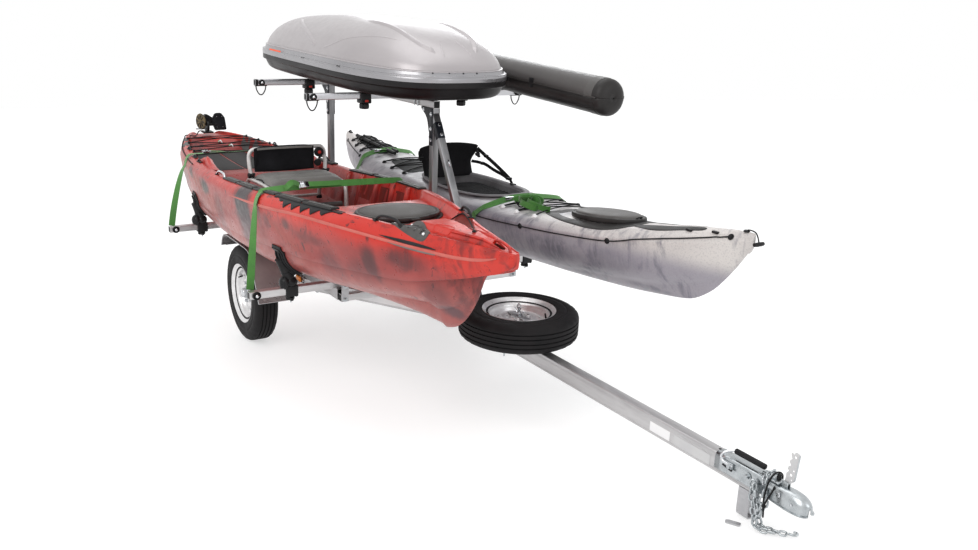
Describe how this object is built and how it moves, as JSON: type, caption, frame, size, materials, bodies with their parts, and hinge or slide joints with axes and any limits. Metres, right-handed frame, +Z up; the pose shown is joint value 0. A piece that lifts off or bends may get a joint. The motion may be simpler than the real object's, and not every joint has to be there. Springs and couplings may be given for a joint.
{
  "type": "kayak trailer",
  "caption": "Light galvanised kayak trailer carrying a red fishing kayak, a white touring kayak, a silver cargo box and a long gear tube, with a spare wheel on its tongue.",
  "frame": {"origin": "on the ground, under the middle of the trailer's outline", "axes": "+X forward to the coupler, +Y to the trailer's port (left) side, +Z up"},
  "size_m": [4.9806, 1.981, 1.8508],
  "materials": {
    "galvanised": "dull grey galvanised steel tube",
    "zinc": "bright zinc plated steel",
    "black_paint": "black paint on spring steel",
    "aluminium": "plain extruded aluminium bar",
    "tyre": "black tyre rubber",
    "rim": "galvanised pressed steel wheel",
    "black_plastic": "textured black plastic",
    "silver_shell": "silver grey gloss plastic shell",
    "grey_shell": "dark grey satin plastic shell",
    "red_shell": "red orange moulded polyethylene with black marbling",
    "white_shell": "off-white moulded polyethylene with grey marbling",
    "grey_rubber": "dark grey rubbery hatch cover",
    "fabric": "black and grey woven fabric over foam",
    "webbing": "green woven webbing",
    "red_lens": "red lamp lens on a grey housing"
  },
  "bodies": {
    "trailer": {"tongue": "galvanised", "brace_starboard": "galvanised", "brace_port": "galvanised", "side_rail_starboard": "galvanised", "side_rail_port": "galvanised", "cross_member_front": "galvanised", "cross_member_rear": "galvanised", "load_bar_front": "galvanised", "load_bar_rear": "galvanised", "axle": "galvanised", "fender_starboard": "galvanised", "fender_port": "galvanised", "post_front": "galvanised", "post_rear": "galvanised", "spine": "galvanised", "front_brace": "galvanised", "leaf_spring_starboard": "black_paint", "leaf_spring_port": "black_paint", "tail_light_starboard": "red_lens", "tail_light_port": "red_lens", "tyre_spare": "tyre", "wheel_spare": "rim", "coupler": "zinc", "lift_handle": "zinc", "safety_chain": "zinc", "spare_carrier": "zinc", "upper_bar_rear": "aluminium", "upper_bar_front": "aluminium", "cargo_box_base": "black_plastic", "gear_tube_base": "black_plastic", "drive_mount": "black_plastic", "saddle_red_front_starboard": "black_plastic", "saddle_red_front_port": "black_plastic", "saddle_red_rear_starboard": "black_plastic", "saddle_red_rear_port": "black_plastic", "saddle_white_front_starboard": "black_plastic", "saddle_white_front_port": "black_plastic", "saddle_white_rear_starboard": "black_plastic", "saddle_white_rear_port": "black_plastic", "red_hull": "red_shell", "white_hull": "white_shell", "red_seat": "fabric", "white_seat": "fabric", "strap_red_front": "webbing", "strap_red_rear": "webbing", "strap_white_front": "webbing", "strap_white_rear": "webbing"},
    "wheel_starboard": {"tyre_starboard": "tyre", "wheel_starboard": "rim"},
    "wheel_port": {"tyre_port": "tyre", "wheel_port": "rim"},
    "latch": {"coupler_latch": "zinc"},
    "box_lid": {"cargo_box_lid": "silver_shell"},
    "tube_lid": {"gear_tube_lid": "grey_shell"},
    "seat_back": {"red_seat_back": "fabric"},
    "cockpit_backrest": {"white_backrest": "fabric"},
    "fishing_hatch": {"red_bow_hatch": "grey_rubber"},
    "touring_hatch": {"white_bow_hatch": "grey_rubber"},
    "drive": {"stern_drive": "black_plastic"}
  },
  "joints": [
    {"name": "wheel_starboard_spin", "type": "hinge", "parent": "trailer", "child": "wheel_starboard", "pos_m": [-0.91658, -0.688, 0.28], "axis": [0, 1, 0], "continuous": true},
    {"name": "wheel_port_spin", "type": "hinge", "parent": "trailer", "child": "wheel_port", "pos_m": [-0.91658, 0.688, 0.28], "axis": [0, 1, 0], "continuous": true},
    {"name": "latch_swing", "type": "hinge", "parent": "trailer", "child": "latch", "pos_m": [2.38771, 0, 0.18646], "axis": [0, -1, 0], "range_deg": [0, 60]},
    {"name": "box_lid_open", "type": "hinge", "parent": "trailer", "child": "box_lid", "pos_m": [-0.46786, 0.3845, 1.56421], "axis": [-0.9949, 0, 0.1004], "range_deg": [0, 36]},
    {"name": "tube_lid_open", "type": "hinge", "parent": "trailer", "child": "tube_lid", "pos_m": [-0.12114, 0.5793, 1.52865], "axis": [-0.9917, 0, 0.1282], "range_deg": [0, 95]},
    {"name": "seat_back_fold", "type": "hinge", "parent": "trailer", "child": "seat_back", "pos_m": [-0.79204, -0.47, 0.99792], "axis": [0, 1, 0], "range_deg": [-12, 70]},
    {"name": "backrest_fold", "type": "hinge", "parent": "trailer", "child": "cockpit_backrest", "pos_m": [-0.58684, 0.45, 0.89881], "axis": [0, 1, 0], "range_deg": [-8, 60]},
    {"name": "fishing_hatch_open", "type": "hinge", "parent": "trailer", "child": "fishing_hatch", "pos_m": [0.3582, -0.462, 0.91616], "axis": [0, -1, 0], "range_deg": [0, 100]},
    {"name": "touring_hatch_lift", "type": "slide", "parent": "trailer", "child": "touring_hatch", "axis": [0.0865, 0, 0.9963], "range_m": [0, 0.06]},
    {"name": "drive_steer", "type": "hinge", "parent": "trailer", "child": "drive", "pos_m": [-2.39354, -0.455, 1.13088], "axis": [0.0865, 0, 0.9963], "range_deg": [-25, 25]}
  ]
}
